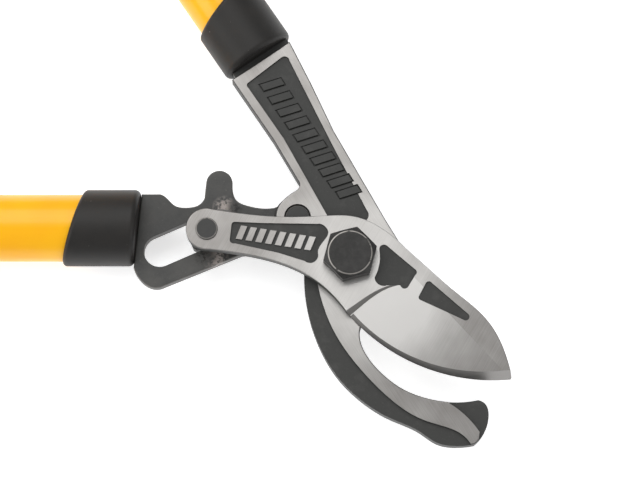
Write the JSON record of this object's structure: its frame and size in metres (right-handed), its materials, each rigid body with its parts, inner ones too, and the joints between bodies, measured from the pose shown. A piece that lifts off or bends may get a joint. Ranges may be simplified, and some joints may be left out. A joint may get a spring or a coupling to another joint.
{
  "type": "bypass lopper",
  "caption": "Long-handled compound-action bypass cutter: hooked jaw, curved blade and a slotted lever under the blade's tail.",
  "frame": {"origin": "on the main pivot axis, in the plane the tool lies on: the end of the pivot bolt and the undersides of both grips touch it", "axes": "+Z from the nut side to the bolt head, -X along the lower handle at rest, +X towards the blade tip, +Y towards the upper handle"},
  "size_m": [0.7442, 0.659, 0.0359],
  "materials": {
    "forged_steel": "satin",
    "blade_steel": "ground",
    "dark_plate": "satin",
    "black_steel": "blackened",
    "bright_steel": "satin",
    "bronze": "satin",
    "ferrule_rubber": "satin",
    "yellow_coat": "gloss",
    "plug_plastic": "matte",
    "grip_rubber": "matte"
  },
  "bodies": {
    "hook_side": {"hook_arm": "forged_steel", "pivot_bolt": "black_steel", "pivot_nut": "black_steel", "pivot_washer": "black_steel", "friction_washer": "bronze", "lever_rivet": "black_steel", "upper_ferrule": "ferrule_rubber", "upper_tube": "yellow_coat", "upper_tang_plug": "plug_plastic", "upper_tang_pins": "bright_steel", "upper_grip": "grip_rubber", "upper_end_cap": "plug_plastic"},
    "lever_side": {"lever": "dark_plate", "lever_washer": "black_steel", "lower_ferrule": "ferrule_rubber", "lower_tube": "yellow_coat", "lower_tang_plug": "plug_plastic", "lower_tang_pins": "bright_steel", "lower_grip": "grip_rubber", "lower_end_cap": "plug_plastic"},
    "blade_side": {"blade": "blade_steel", "pivot_bush": "bronze", "tail_pin": "black_steel", "tail_pin_spacer": "black_steel", "tail_pin_clip": "black_steel"},
    "block": {"slide_block": "dark_plate"}
  },
  "joints": [
    {"name": "lever_swing", "type": "hinge", "parent": "hook_side", "child": "lever_side", "pos_m": [-0.0209, 0.0166, 0.015], "axis": [0, 0, 1], "range_deg": [-25, 31]},
    {"name": "blade_swing", "type": "hinge", "parent": "hook_side", "child": "blade_side", "pos_m": [0, 0, 0.0258], "axis": [0, 0, 1], "range_deg": [-19.76, 24.5]},
    {"name": "block_turn", "type": "hinge", "parent": "blade_side", "child": "block", "pos_m": [-0.0571, 0.0109, 0.015], "axis": [0, 0, 1], "range_deg": [-5.26, 6.52]}
  ],
  "couplings": [
    {"joint": "blade_swing", "follows": "lever_swing", "ratio": 0.79},
    {"joint": "block_turn", "follows": "lever_swing", "ratio": 0.21}
  ]
}
